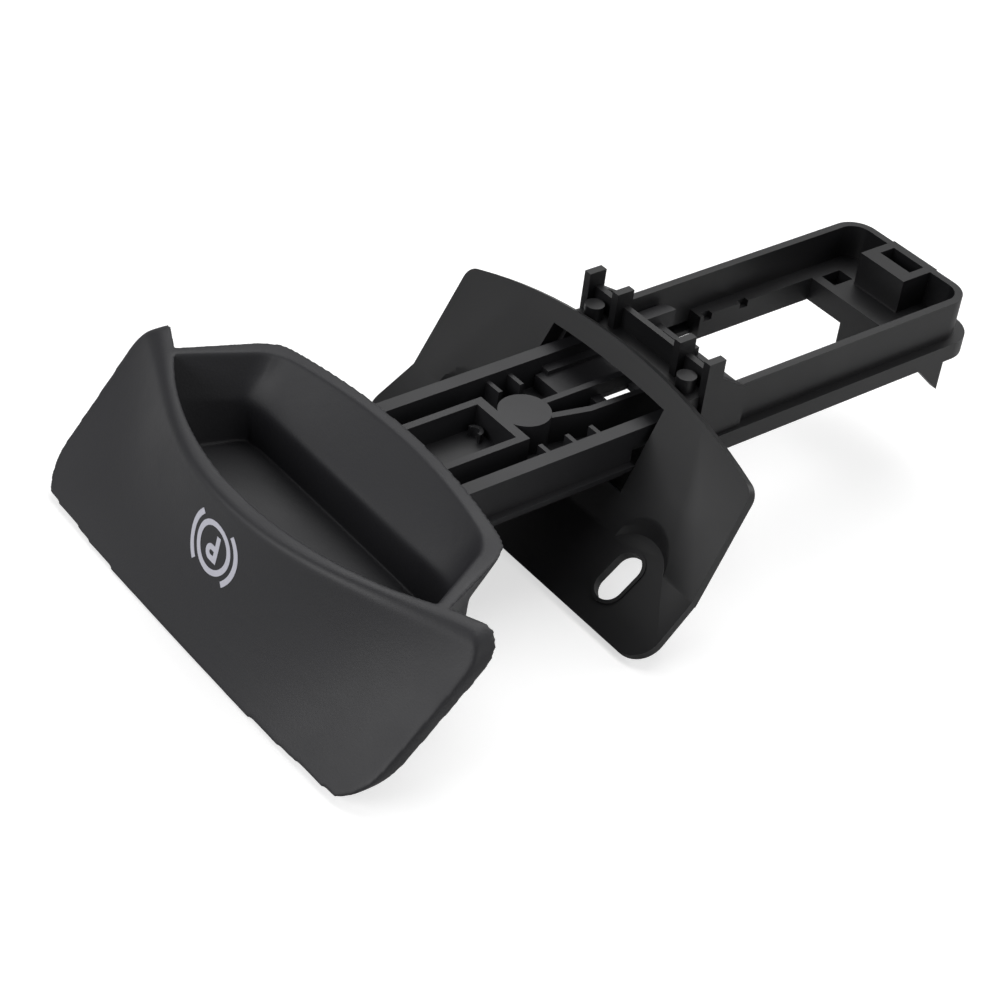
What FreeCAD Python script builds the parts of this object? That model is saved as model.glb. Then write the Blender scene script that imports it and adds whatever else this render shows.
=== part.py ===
import FreeCAD, Part
import math
import os
import Sketcher

# Parking brake release handle: a finger-cup grip on a ribbed slider, which runs in a
# guide bracket that is screwed to the car through two slots in its ears.
# X is across the car, Y along the slider's travel and Z up. The origin is midway
# between the two screw slots. All sizes are in millimetres.

SIZES = [
    ("GripHalfWidth", 57.5, "half the width of the face plate"),
    ("LipFront", -75.1, "front of the lip at the middle"),
    ("LipTop", 28.3, "height of the lip and of the cup's rim"),
    ("LipBow", 72.0, "radius of the lip's bow, seen from above"),
    ("LipBowHalf", 31.0, "half-width of the bowed stretch, straight beyond"),
    ("LipDepth", 4.4, "depth of the lip from front to back"),
    ("FootFront", -84.0, "front of the plate's foot at the middle"),
    ("FootBack", 1.7, "how far the foot's ends sit behind its middle"),
    ("FootHeight", -2.5, "height of the foot at the middle"),
    ("FootRise", 1.5, "how far the foot's ends rise"),
    ("FaceHollow", 2.2, "hollow of the face at the middle"),
    ("EndHollow", 0.4, "hollow of the face at its ends"),
    ("UpperCorner", 6.0, "corner radius at the plate's top"),
    ("LowerCorner", 9.0, "corner radius at the plate's foot"),
    ("CornerInset", 2.6, "how far in the plate's lower corners sit"),
    ("CornerRise", 0.7, "rise of those corners over the foot's middle"),
    ("FootSag", 0.8, "sag of the foot's trimmed edge at the middle"),
    ("TopInset", 0.2, "how far in the plate's upper corners sit"),
    ("LipRound", 1.6, "rounding of the lip's front edge"),
    ("MouthFrontHalf", 43.6, "half-width of the cup's mouth at the lip"),
    ("MouthInset", 0.3, "how far the cup's hollow is cut into the back of the plate"),
    ("MouthBackHalf", 34.9, "half-width of the cup's mouth at its back corners"),
    ("MouthBack", -35.0, "back of the cup's mouth at the middle"),
    ("MouthCorner", -40.5, "back of the cup's mouth at its corners"),
    ("CupWall", 2.9, "wall of the cup"),
    ("CupBow", 0.2, "bow of the cup's back below the knee"),
    ("CupDraft", 0.8, "how much each lower level of the cup narrows"),
    ("KneeTop", 19.3, "height where the cup's sloping back turns upright"),
    ("KneeBack", -46.0, "back of the cup at that height"),
    ("CupFloor", 10.0, "height of the cup's floor"),
    ("SeatPlane", -31.5, "plane where the slider is seated on the grip"),
    ("SeatDrop", 0.6, "how far the grip's seat ends below the slider's rails"),
    ("SeatFoot", 12.0, "lowest point of the grip's seat for the slider"),
    ("RailHalf", 16.4, "outer half-width of the slider's rails"),
    ("RailInner", 13.2, "inner half-width of the slider's rails"),
    ("RailTop", 23.1, "height of the slider's rails"),
    ("RailFoot", 19.0, "underside of the rails behind the runner"),
    ("RailEnd", 48.0, "rear end of the rails"),
    ("RailRound", 2.4, "corner radius of the rails' rear ends"),
    ("PocketHalf", 6.3, "half-width of the pocket in the slider"),
    ("PocketWall", 1.7, "wall between the pocket and the side channels"),
    ("PocketFloor", 17.3, "height of the pocket's floor"),
    ("PocketBack", -10.8, "rear end of the pocket"),
    ("StripWidth", 2.2, "width of the strip behind the pocket"),
    ("RunnerFoot", 14.4, "underside of the slider's runners"),
    ("RunnerThick", 1.0, "thickness of the slider's runners"),
    ("RunnerHalf", 17.9, "half-width over the slider's runners"),
    ("TrayThick", 1.6, "thickness of the slider's floor"),
    ("TrayHalf", 12.6, "half-width of the slider's rear tray"),
    ("TrayEnd", 44.5, "rear end of the tray"),
    ("KeelOuter", 15.0, "outer face of the slider's keels"),
    ("KeelFoot", 11.0, "underside of the slider's keels"),
    ("RibThick", 1.5, "thickness of the slider's ribs"),
    ("RibTop", 22.4, "height of the slider's ribs"),
    ("RibStep", 0.8, "how much lower the short cross ribs are"),
    ("CrossRibNear", 9.0, "inner end of the short cross ribs"),
    ("RightRibFront", -6.7, "place of the first cross rib on the right"),
    ("RightRibMiddle", 0.1, "place of the second cross rib on the right"),
    ("RightRibRear", 6.2, "place of the third cross rib on the right"),
    ("LeftRibFront", -2.6, "place of the first cross rib on the left"),
    ("LeftRibRear", 2.9, "place of the second cross rib on the left"),
    ("StraightRib", -1.3, "centre of the slider's straight rib"),
    ("KinkRoot", 1.4, "near side of the kinked rib at the round pad"),
    ("KinkWidth", 1.65, "width of the kinked rib at the round pad"),
    ("KinkX", 5.3, "centre of the kinked rib at its kink"),
    ("KinkY", 9.2, "place of the kink"),
    ("KinkSkew", 0.4, "how far the kink's two corners are apart from its place"),
    ("KinkDrift", 0.6, "how far the rib drifts outwards behind the kink"),
    ("PlatformTop", 19.5, "height of the hollow platform under the straight rib"),
    ("PlatformThick", 1.2, "thickness of that platform's top"),
    ("PlatformFront", 9.5, "front of the platform left of the straight rib"),
    ("PlatformStep", 14.5, "front of the platform right of the straight rib"),
    ("PlatformEnd", 30.0, "rear end of that platform"),
    ("HookX", -3.3, "centre of the half-round hook in the pocket"),
    ("HookY", -13.4, "place of that hook"),
    ("HookRadius", 1.9, "outer radius of the hook"),
    ("HookWall", 0.8, "wall of the hook"),
    ("HookHeight", 2.2, "height of the hook"),
    ("PadCentre", -3.7, "centre of the slider's round pad"),
    ("PadRadius", 5.5, "radius of the slider's round pad"),
    ("SlotLeft", -0.5, "left side of the slot through the platform"),
    ("SlotWidth", 2.9, "width of that slot"),
    ("SlotFront", 17.0, "front of that slot"),
    ("SlotLength", 7.6, "length of that slot"),
    ("StopHeight", 2.0, "height of the stop lugs"),
    ("StopLength", 3.0, "length of the stop lugs"),
    ("StopGap", 0.4, "gap between the stop lugs and the cross wall"),
    ("Stroke", 44.0, "travel of the handle into the bracket"),
    ("EndGap", 0.4, "gap left behind the runners when the handle is pushed home"),
    ("RunGap", 0.3, "running gap above and below the runners"),
    ("SideGap", 0.35, "running gap beside the rails"),
    ("Sheet", 2.0, "thickness of the panel and of the ears"),
    ("BendY", 4.5, "place of the bend between the ears and the panel"),
    ("BendZ", 3.3, "height of that bend"),
    ("PanelSlope", 61.6, "slope of the panel, in degrees"),
    ("EarSlope", 36.2, "slope of the ears, in degrees"),
    ("PanelHalf", 46.3, "half-width of the panel at the bend"),
    ("RimHalf", 45.4, "half-width of the panel at its rim"),
    ("RimSide", 24.9, "length of the panel's side edge"),
    ("RimMiddle", 32.4, "length of the panel at its middle"),
    ("RimCorner", 3.5, "corner radius of the panel's rim"),
    ("EarHalf", 47.8, "half-width over the ears' low edge"),
    ("EarLength", 16.6, "length of the ears down their slope"),
    ("EarCorner", 6.0, "corner radius of the ears"),
    ("ScrewHalf", 30.0, "half the distance between the screw slots"),
    ("ScrewSlotWidth", 6.4, "width of a screw slot"),
    ("ScrewSlotLength", 11.4, "length of a screw slot, down the slope"),
    ("SlotRim", 0.8, "width of the raised rim round a screw slot"),
    ("SlotRimHeight", 0.4, "height of that rim"),
    ("RecessBacking", 4.8, "how far the recess's backing reaches past it"),
    ("RecessUp", 1.3, "how far the screw recess sits up the slope"),
    ("RecessRadius", 8.6, "radius of the screw recess at its floor"),
    ("RecessFlare", 42.0, "flare of the screw recess, in degrees"),
    ("RecessDepth", 6.0, "depth of the cut for the screw recess"),
    ("PassHalfTop", 17.6, "half-width of the slider's passage at its top"),
    ("PassHalfFoot", 18.4, "half-width of the slider's passage at its foot"),
    ("PassTop", 27.6, "top of the passage, up the panel"),
    ("PassFoot", 8.0, "foot of the passage, up the panel"),
    ("PassDrop", 0.7, "how far the passage's top corners drop"),
    ("WallHalf", 18.5, "outer half-width of the frame's walls"),
    ("WallTop", 26.7, "height of the frame's walls"),
    ("WallFront", 26.3, "front end of the frame's high walls"),
    ("LowWallFront", 11.5, "front end of the lower walls"),
    ("FrameEnd", 106.8, "rear end of the frame"),
    ("FrameWall", 1.8, "wall of the frame's rear end"),
    ("FrameCorner", 6.0, "corner radius of the frame's rear end"),
    ("FlangeHalf", 20.5, "outer half-width of the base flange"),
    ("FlangeCorner", 7.5, "corner radius of the base flange"),
    ("FlangeEnd", 109.3, "rear end of the base flange"),
    ("FlangeFoot", 12.9, "underside of the base flange"),
    ("FlangeTop", 17.1, "top of the base flange"),
    ("LipInner", 15.6, "inner half-width of the lips under the runners"),
    ("GrooveEnd", 56.0, "rear end of the groove for the runners"),
    ("LedgeTop", 18.6, "height of the ledge inside the frame"),
    ("LedgeNotch", 1.3, "depth of the notches in that ledge"),
    ("NotchLength", 2.4, "length of such a notch"),
    ("FirstNotch", 58.2, "centre of the first notch"),
    ("SecondNotch", 68.9, "centre of the second notch"),
    ("WindowFront", 51.0, "front end of the frame's window"),
    ("WindowHalf", 13.1, "half-width of the frame's window"),
    ("WindowEnd", 89.5, "rear end of the frame's window"),
    ("RoofFoot", 26.2, "underside of the roof over the slider"),
    ("RoofThick", 1.5, "thickness of that roof"),
    ("CrossFront", 28.0, "front of the cross wall"),
    ("CrossThick", 1.5, "thickness of the cross wall"),
    ("CrossFoot", 24.2, "underside of the cross wall"),
    ("CrossTop", 32.4, "height of the cross wall"),
    ("PostFront", 25.9, "front of the posts"),
    ("PostDepth", 4.4, "depth of the posts"),
    ("PostTop", 36.0, "height of the posts"),
    ("PostThick", 1.8, "thickness of the posts"),
    ("InnerPost", 9.8, "centre of the inner posts"),
    ("OuterPost", 18.8, "centre of the outer posts"),
    ("HornShoulder", 30.6, "height of the outer posts' shoulder"),
    ("HornStep", 1.4, "length of the step behind the outer posts"),
    ("HornLean", 0.8, "slant of that step"),
    ("HornEnd", 38.0, "rear end of the outer posts' ramp"),
    ("PegRadius", 2.1, "radius of the pegs on the roof"),
    ("PegHalf", 14.6, "half the distance between the pegs"),
    ("PegFront", 25.2, "centre of the pegs"),
    ("PegHeight", 3.2, "height of the pegs"),
    ("TowerHalf", 6.7, "half-width of the rear socket"),
    ("TowerFront", 96.6, "front of the rear socket"),
    ("TowerEnd", 107.2, "rear end of the rear socket"),
    ("RearPocketLeft", -12.4, "left side of the pocket in the rear floor"),
    ("RearPocketWidth", 4.2, "width of that pocket"),
    ("RearPocketFront", 92.0, "front of that pocket"),
    ("RearPocketLength", 5.6, "length of that pocket"),
    ("RearPocketDepth", 3.4, "depth of that pocket"),
    ("SocketHalf", 4.6, "half-width of the socket's hole"),
    ("SocketFront", 100.6, "front of the socket's hole"),
    ("SocketLength", 4.4, "length of the socket's hole"),
    ("SocketFoot", 19.6, "floor of the socket's hole"),
    ("SheathFoot", 3.3, "lowest edge of the slotted plate"),
    ("SheathHead", 19.2, "height where the slotted plate ends"),
    ("SheathTop", 14.5, "height where the slotted plate starts to lean"),
    ("SheathFront", 95.0, "front of the slotted plate"),
    ("SheathThick", 2.0, "thickness of the slotted plate"),
    ("SheathSlot", 2.3, "width of the slot for a cable"),
    ("TabFront", 91.5, "front of the tab below the flange"),
    ("TabEnd", 99.2, "rear end of that tab"),
    ("TabFoot", 5.6, "lowest point of that tab"),
    ("TabThick", 1.8, "thickness of that tab"),
    ("Overlap", 0.1, "how far joined shapes run into each other"),
    ("CutPast", 1.0, "how far a cut runs past a surface"),
]

doc = FreeCAD.newDocument("ReleaseHandle")
sheet = doc.addObject("Spreadsheet::Sheet", "Sizes")


class Size:
    """A length that knows its number and the formula that draws it from the sheet."""

    def __init__(self, number, formula):
        self.number = number
        self.formula = formula

    def join(self, sign, other, number, swap=False):
        pair = (other.formula, self.formula) if swap else (self.formula, other.formula)
        return Size(number, "(" + pair[0] + " " + sign + " " + pair[1] + ")")

    def __add__(self, other):
        other = size(other)
        return self.join("+", other, self.number + other.number)

    def __radd__(self, other):
        return size(other) + self

    def __sub__(self, other):
        other = size(other)
        return self.join("-", other, self.number - other.number)

    def __rsub__(self, other):
        return size(other) - self

    def __mul__(self, other):
        other = size(other)
        return self.join("*", other, self.number * other.number)

    def __rmul__(self, other):
        return size(other) * self

    def __truediv__(self, other):
        other = size(other)
        return self.join("/", other, self.number / other.number)

    def __rtruediv__(self, other):
        return size(other) / self

    def __neg__(self):
        return Size(-self.number, "(0 - " + self.formula + ")")


def size(value):
    return value if isinstance(value, Size) else Size(float(value), repr(float(value)))


def root(value):
    return Size(math.sqrt(value.number), "sqrt(" + value.formula + ")")


def sine(angle):
    return Size(math.sin(math.radians(angle.number)), "sin(" + angle.formula + ")")


def cosine(angle):
    return Size(math.cos(math.radians(angle.number)), "cos(" + angle.formula + ")")


class Named:
    """The sheet's sizes, each read by its name."""


def fill_sheet():
    for row, (name, number, meaning) in enumerate(SIZES, start=1):
        sheet.set("A" + str(row), meaning)
        sheet.set("B" + str(row), str(number))
        sheet.setAlias("B" + str(row), name)
        setattr(Named, name, Size(number, "Sizes." + name))
    doc.recompute()


fill_sheet()
ZERO = size(0)
# Pushed home, the runners stop just short of the groove's end.
Named.RunnerEnd = Named.GrooveEnd - Named.Stroke - Named.EndGap


def drive(thing, path, value):
    thing.setExpression(path, size(value).formula)


def new_body(label):
    body = doc.addObject("PartDesign::Body", label)
    body.Label = label
    return body


def origin_plane(body, role):
    return [plane for plane in body.Origin.OriginFeatures if plane.Role == role][0]


def new_sketch(body, name, role, lift=ZERO, tilt=None):
    """A sketch on an origin plane, lifted along it, or on a plane tilted about X."""
    sketch = body.newObject("Sketcher::SketchObject", name)
    sketch.AttachmentSupport = [(origin_plane(body, role), "")]
    sketch.MapMode = "FlatFace"
    if tilt is None:
        drive(sketch, "AttachmentOffset.Base.z", -lift if role == "XZ_Plane" else lift)
        return sketch
    angle, place_y, place_z = tilt
    turn = FreeCAD.Rotation(FreeCAD.Vector(1, 0, 0), angle.number)
    sketch.AttachmentOffset = FreeCAD.Placement(FreeCAD.Vector(0, 0, 0), turn)
    drive(sketch, "AttachmentOffset.Rotation.Angle", angle)
    drive(sketch, "AttachmentOffset.Base.y", place_y - sine(angle) * lift)
    drive(sketch, "AttachmentOffset.Base.z", place_z + cosine(angle) * lift)
    return sketch


def corner(x, y, radius=None, via=None):
    """One corner of an outline. The edge after it bends through the via point."""
    return size(x), size(y), radius, via


def flat(x, y):
    return FreeCAD.Vector(x.number, y.number, 0)


def end_at(sketch, geometry, point):
    """Which end of a drawn edge lies on a point: 1 for its start, 2 for its end."""
    return 1 if sketch.getPoint(geometry, 1).distanceToPoint(point) < 1e-4 else 2


def place_constraints(geometry, position, x, y):
    across = Sketcher.Constraint("DistanceX", -1, 1, geometry, position, x.number)
    along = Sketcher.Constraint("DistanceY", -1, 1, geometry, position, y.number)
    return [(across, x), (along, y)]


def draw(sketch, corners):
    """Draw a closed outline whose corners are placed by the sheet."""
    count = len(corners)
    spots = [flat(x, y) for x, y, radius, via in corners]
    enter, leave = list(spots), list(spots)
    geometry, bonds, middles = [], [], {}
    first = sketch.GeometryCount
    for index, (x, y, radius, via) in enumerate(corners):
        if radius is None:
            continue
        spot = spots[index]
        back = (spots[index - 1] - spot).normalize()
        ahead = (spots[(index + 1) % count] - spot).normalize()
        half = back.getAngle(ahead) / 2
        reach = radius.number / math.tan(half)
        enter[index] = spot + back * reach
        leave[index] = spot + ahead * reach
        inward = (back + ahead).normalize()
        middles[index] = spot + inward * (radius.number / math.sin(half) - radius.number)
    for index, (x, y, radius, via) in enumerate(corners):
        start, end = leave[index], enter[(index + 1) % count]
        bend = None if via is None else flat(size(via[0]), size(via[1]))
        geometry.append(Part.LineSegment(start, end) if via is None
                        else Part.Arc(start, bend, end))
    arcs, points = {}, {}
    for index, middle in middles.items():
        arcs[index] = len(geometry)
        geometry.append(Part.Arc(enter[index], middle, leave[index]))
        points[index] = len(geometry)
        geometry.append(Part.Point(spots[index]))
    vias = {}
    for index, (x, y, radius, via) in enumerate(corners):
        if via is not None:
            vias[index] = len(geometry)
            geometry.append(Part.Point(flat(size(via[0]), size(via[1]))))
    sketch.addGeometry(geometry, False)
    for number in list(points.values()) + list(vias.values()):
        sketch.setConstruction(first + number, True)

    def end(number, spot):
        return first + number, end_at(sketch, first + number, spot)

    for index, (x, y, radius, via) in enumerate(corners):
        before = (index - 1) % count
        edge_in = end(before, enter[index])
        edge_out = end(index, leave[index])
        if radius is None:
            bonds.append((Sketcher.Constraint("Coincident", *edge_in, *edge_out), None))
            bonds += place_constraints(*edge_out, x, y)
            continue
        arc_in = end(arcs[index], enter[index])
        arc_out = end(arcs[index], leave[index])
        bonds.append((Sketcher.Constraint("Tangent", *edge_in, *arc_in), None))
        bonds.append((Sketcher.Constraint("Tangent", *arc_out, *edge_out), None))
        bonds.append((Sketcher.Constraint("Radius", arc_in[0], radius.number), radius))
        point = first + points[index]
        for edge in (edge_in[0], edge_out[0]):
            bonds.append((Sketcher.Constraint("PointOnObject", point, 1, edge), None))
        bonds += place_constraints(point, 1, x, y)
    for index, number in vias.items():
        via = corners[index][3]
        bonds.append((Sketcher.Constraint("PointOnObject", first + number, 1,
                                          first + index), None))
        bonds += place_constraints(first + number, 1, size(via[0]), size(via[1]))
    bind(sketch, bonds)


def draw_circle(sketch, x, y, radius):
    circle = Part.Circle(flat(size(x), size(y)), FreeCAD.Vector(0, 0, 1), radius.number)
    number = sketch.addGeometry(circle, False)
    bonds = place_constraints(number, 3, size(x), size(y))
    bonds.append((Sketcher.Constraint("Radius", number, radius.number), radius))
    bind(sketch, bonds)


def bind(sketch, bonds):
    """Add constraints, and tie those that hold a size to the sheet."""
    start = sketch.ConstraintCount
    sketch.addConstraint([bond for bond, value in bonds])
    for number, (bond, value) in enumerate(bonds, start=start):
        if value is not None:
            drive(sketch, "Constraints[" + str(number) + "]", value)


def box_outline(left, right, low, high):
    return [corner(left, low), corner(right, low), corner(right, high), corner(left, high)]


def settle(body, feature, grows, before):
    """Recompute, and make sure that the feature changed the solid as it should."""
    body.Tip = feature
    doc.recompute()
    change = feature.Shape.Volume - before
    if (change < 0.05) if grows else (change > -0.05):
        raise ValueError(feature.Label + " changes nothing")
    return feature


def volume(body):
    return body.Shape.Volume if body.Tip and not body.Shape.isNull() else 0.0


def extrude(body, name, role, low, high, corners=None, cut=False, tilt=None, disc=None):
    """Pad or pocket an outline from one height to another along the plane's axis."""
    before = volume(body)
    sketch = new_sketch(body, name + "Outline", role, size(low), tilt)
    if corners:
        draw(sketch, corners)
    if disc:
        draw_circle(sketch, *disc)
    kind = "PartDesign::Pocket" if cut else "PartDesign::Pad"
    feature = body.newObject(kind, name)
    feature.Profile = sketch
    flipped = role == "XZ_Plane"
    feature.Reversed = cut != flipped
    drive(feature, "Length", size(high) - low)
    return settle(body, feature, not cut, before)


def loft(body, name, sections, cut=False, ruled=False):
    before = volume(body)
    kind = "PartDesign::SubtractiveLoft" if cut else "PartDesign::AdditiveLoft"
    feature = body.newObject(kind, name)
    feature.Profile = sections[0]
    feature.Sections = sections[1:]
    feature.Ruled = ruled
    return settle(body, feature, not cut, before)


def mirror(body, name, originals):
    before = volume(body)
    grows = originals[0].TypeId != "PartDesign::Pocket"
    feature = body.newObject("PartDesign::Mirrored", name)
    feature.Originals = originals
    feature.MirrorPlane = (origin_plane(body, "YZ_Plane"), [""])
    return settle(body, feature, grows, before)


def round_edges(body, name, radius, wanted):
    """Round the edges that a test picks."""
    before = volume(body)
    solid = body.Tip
    names = ["Edge" + str(number) for number, edge in enumerate(solid.Shape.Edges, start=1)
             if wanted(edge)]
    if not names:
        raise ValueError(name + " finds no edge")
    feature = body.newObject("PartDesign::Fillet", name)
    feature.Base = (solid, names)
    drive(feature, "Radius", radius)
    return settle(body, feature, False, before)


def lip_front(x):
    """Front of the lip at a distance from the middle: a bow, then straight."""
    n = Named
    if abs(x.number) <= n.LipBowHalf.number:
        return n.LipFront + n.LipBow - root(n.LipBow * n.LipBow - x * x)
    rise = root(n.LipBow * n.LipBow - n.LipBowHalf * n.LipBowHalf)
    slope = n.LipBowHalf / rise
    return n.LipFront + n.LipBow - rise + slope * (x - n.LipBowHalf)


def share(x):
    return (x * x) / (Named.GripHalfWidth * Named.GripHalfWidth)


def foot_front(x):
    return Named.FootFront + Named.FootBack * share(x)


def foot_height(x):
    return Named.FootHeight + Named.FootRise * share(x)


def hollow(x):
    part = share(x) * share(x)
    return Named.FaceHollow * (1 - part) + Named.EndHollow * part


def face_front(x, height):
    """Front of the face at any height: a line from lip to foot, hollowed."""
    drop = (Named.LipTop - height) / (Named.LipTop - foot_height(x))
    straight = lip_front(x) + (foot_front(x) - lip_front(x)) * drop
    return straight + 4 * drop * (1 - drop) * hollow(x)


def face_section(body, number, x, side):
    n = Named
    sketch = new_sketch(body, "FaceSection" + str(number), "YZ_Plane", x * side)
    middle = (n.LipTop + foot_height(x)) / 2
    front = face_front(x, middle)
    lip = n.LipRound
    bend = lip * (1 - root(size(0.5)))
    draw(sketch, [
        corner(foot_front(x), foot_height(x), via=(front, middle)),
        corner(face_front(x, n.LipTop - lip), n.LipTop - lip,
               via=(lip_front(x) + bend, n.LipTop - bend)),
        corner(lip_front(x) + lip, n.LipTop),
        corner(lip_front(x) + n.LipDepth, n.LipTop, via=(front + n.LipDepth, middle)),
        corner(foot_front(x) + n.LipDepth, foot_height(x)),
    ])
    return sketch


def cup_section(body, name, height, front_half, back_half, back, back_corner, depth):
    """One level of the cup, whose front lies at a depth behind the face."""
    sketch = new_sketch(body, name, "XY_Plane", height)
    front = face_front(front_half, height) + depth
    middle = face_front(ZERO, height) + depth
    draw(sketch, [
        corner(-front_half, front, via=(0, middle)),
        corner(front_half, front),
        corner(back_half, back_corner, via=(0, back)),
        corner(-back_half, back_corner),
    ])
    return sketch


def cup_levels(body, name, wall, floor):
    """The cup's mouth, knee and floor, offset outwards by a wall."""
    n = Named
    depth = n.LipDepth - n.MouthInset if wall is ZERO else n.LipDepth / 2
    return [
        cup_section(body, name + "Mouth", n.LipTop, n.MouthFrontHalf + wall,
                    n.MouthBackHalf + wall, n.MouthBack + wall, n.MouthCorner + wall, depth),
        cup_section(body, name + "Knee", n.KneeTop, n.MouthFrontHalf - n.CupDraft * 2 + wall,
                    n.MouthBackHalf - n.CupDraft + wall, n.KneeBack + wall,
                    n.KneeBack - n.CupBow + wall, depth),
        cup_section(body, name + "Floor", floor, n.MouthFrontHalf - n.CupDraft * 4 + wall,
                    n.MouthBackHalf - n.CupDraft * 2 + wall, n.KneeBack - n.CupDraft / 2 + wall,
                    n.KneeBack - n.CupDraft / 2 - n.CupBow + wall, depth),
    ]


def make_grip():
    n = Named
    body = new_body("grip")
    places = [(n.GripHalfWidth, -1), ((n.GripHalfWidth + n.LipBowHalf) / 2, -1),
              (n.LipBowHalf, -1), (n.LipBowHalf / 2, -1), (ZERO, 1), (n.LipBowHalf / 2, 1),
              (n.LipBowHalf, 1), ((n.GripHalfWidth + n.LipBowHalf) / 2, 1),
              (n.GripHalfWidth, 1)]
    sections = [face_section(body, number, x, side)
                for number, (x, side) in enumerate(places)]
    loft(body, "FacePlate", sections)
    trim_corners(body)
    floor_under = n.CupFloor - n.CupWall
    loft(body, "CupShell", cup_levels(body, "Shell", n.CupWall, floor_under), ruled=True)
    extrude(body, "SliderSeat", "XY_Plane", n.SeatFoot, n.RailTop - n.SeatDrop,
            box_outline(-n.RailHalf, n.RailHalf, n.KneeBack, n.SeatPlane))
    loft(body, "CupHollow", cup_levels(body, "Hollow", ZERO, n.CupFloor), cut=True,
         ruled=True)
    return body


def trim_corners(body):
    """Round the face plate's four corners, seen from the front."""
    n = Named
    margin = n.CutPast * 10
    before = volume(body)
    sketch = new_sketch(body, "CornerTrim", "XZ_Plane")
    low = n.FootHeight - margin
    high = n.LipTop + margin
    side = n.GripHalfWidth
    draw(sketch, box_outline(-side - margin, side + margin, low - margin, high))
    draw(sketch, [
        corner(-side + n.CornerInset, n.FootHeight + n.CornerRise, n.LowerCorner),
        corner(0, n.FootHeight - n.FootSag),
        corner(side - n.CornerInset, n.FootHeight + n.CornerRise, n.LowerCorner),
        corner(side - n.TopInset, n.LipTop + n.Overlap, n.UpperCorner),
        corner(-side + n.TopInset, n.LipTop + n.Overlap, n.UpperCorner),
    ])
    cut = body.newObject("PartDesign::Pocket", "TrimCut")
    cut.Profile = sketch
    cut.Type = "ThroughAll"
    cut.Midplane = True
    settle(body, cut, False, before)


def make_slider():
    n = Named
    body = new_body("slider")
    wall = n.PocketHalf + n.PocketWall
    floor = n.RunnerFoot + n.TrayThick
    runner_top = n.RunnerFoot + n.RunnerThick
    strip_end = n.PocketBack + n.StripWidth
    half = [(n.RunnerHalf, n.RunnerFoot), (n.RunnerHalf, runner_top), (n.RailHalf, runner_top),
            (n.RailHalf, n.RailTop), (n.RailInner, n.RailTop), (n.RailInner, floor)]
    pocket = [(wall, floor), (wall, n.RailTop), (n.PocketHalf, n.RailTop),
              (n.PocketHalf, n.PocketFloor)]
    extrude(body, "FrontRun", "XZ_Plane", n.SeatPlane, strip_end, both_sides(half + pocket))
    extrude(body, "MiddleRun", "XZ_Plane", strip_end, n.RunnerEnd, both_sides(half))
    leg = n.TrayHalf - n.RibThick
    shelf = n.RailFoot + n.RibThick
    tray = [(n.TrayHalf, n.RunnerFoot), (n.TrayHalf, n.RailFoot), (n.RailHalf, n.RailFoot),
            (n.RailHalf, n.RailTop), (n.RailInner, n.RailTop), (n.RailInner, shelf),
            (leg, shelf), (leg, floor)]
    extrude(body, "RearRun", "XZ_Plane", n.RunnerEnd, n.TrayEnd, both_sides(tray))
    extrude(body, "TrayEndWall", "XZ_Plane", n.TrayEnd - n.RibThick, n.TrayEnd,
            box_outline(-n.TrayHalf, n.TrayHalf, n.RunnerFoot, n.RailFoot + n.RibThick))
    rail = extrude(body, "RailTail", "XY_Plane", n.RailFoot, n.RailTop, [
        corner(n.RailInner, n.TrayEnd - n.CutPast), corner(n.RailHalf, n.TrayEnd - n.CutPast),
        corner(n.RailHalf, n.RailEnd, n.RailRound), corner(n.RailInner, n.RailEnd)])
    mirror(body, "RailTails", [rail])
    extrude(body, "CrossStrip", "XZ_Plane", n.PocketBack, strip_end,
            box_outline(-wall, wall, floor, n.RailTop))
    keel = extrude(body, "Keel", "XZ_Plane", n.SeatPlane, n.RunnerEnd,
                   box_outline(n.RailInner, n.KeelOuter, n.KeelFoot, n.RunnerFoot))
    mirror(body, "Keels", [keel])
    extrude(body, "RoundPad", "XY_Plane", floor, n.RailTop,
            disc=(0, n.PadCentre, n.PadRadius))
    make_slider_ribs(body, floor)
    hook = n.HookRadius
    bore = n.HookRadius - n.HookWall
    extrude(body, "Hook", "XY_Plane", n.PocketFloor - n.Overlap, n.PocketFloor + n.HookHeight, [
        corner(n.HookX - hook, n.HookY), corner(n.HookX - bore, n.HookY,
                                                via=(n.HookX, n.HookY + bore)),
        corner(n.HookX + bore, n.HookY), corner(n.HookX + hook, n.HookY,
                                                via=(n.HookX, n.HookY + hook))])
    extrude(body, "PlatformSlot", "XY_Plane", n.RunnerFoot, n.PlatformTop + n.CutPast,
            box_outline(n.SlotLeft, n.SlotLeft + n.SlotWidth, n.SlotFront,
                        n.SlotFront + n.SlotLength), cut=True)
    stop_front = n.CrossFront + n.CrossThick + n.StopGap
    lug = extrude(body, "StopLug", "XY_Plane", n.RailTop, n.RailTop + n.StopHeight,
                  box_outline(n.RailInner, n.RailHalf, stop_front, stop_front + n.StopLength))
    mirror(body, "StopLugs", [lug])
    return body


def both_sides(half):
    """A section drawn for one side, closed by its mirror image."""
    right = [corner(x, z) for x, z in half]
    left = [corner(-x, z) for x, z in reversed(half)]
    return right + left


def platform_outline(wall):
    """The platform seen from above, or its hollow when a wall is given."""
    n = Named
    left = -n.TrayHalf + wall
    side = n.StraightRib
    right = n.KinkX + n.KinkDrift - wall
    front = n.PlatformFront + wall
    step = n.PlatformStep + wall
    end = n.PlatformEnd - wall
    return [corner(left, front), corner(side, front), corner(side, step),
            corner(right, step), corner(right, end), corner(left, end)]


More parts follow.
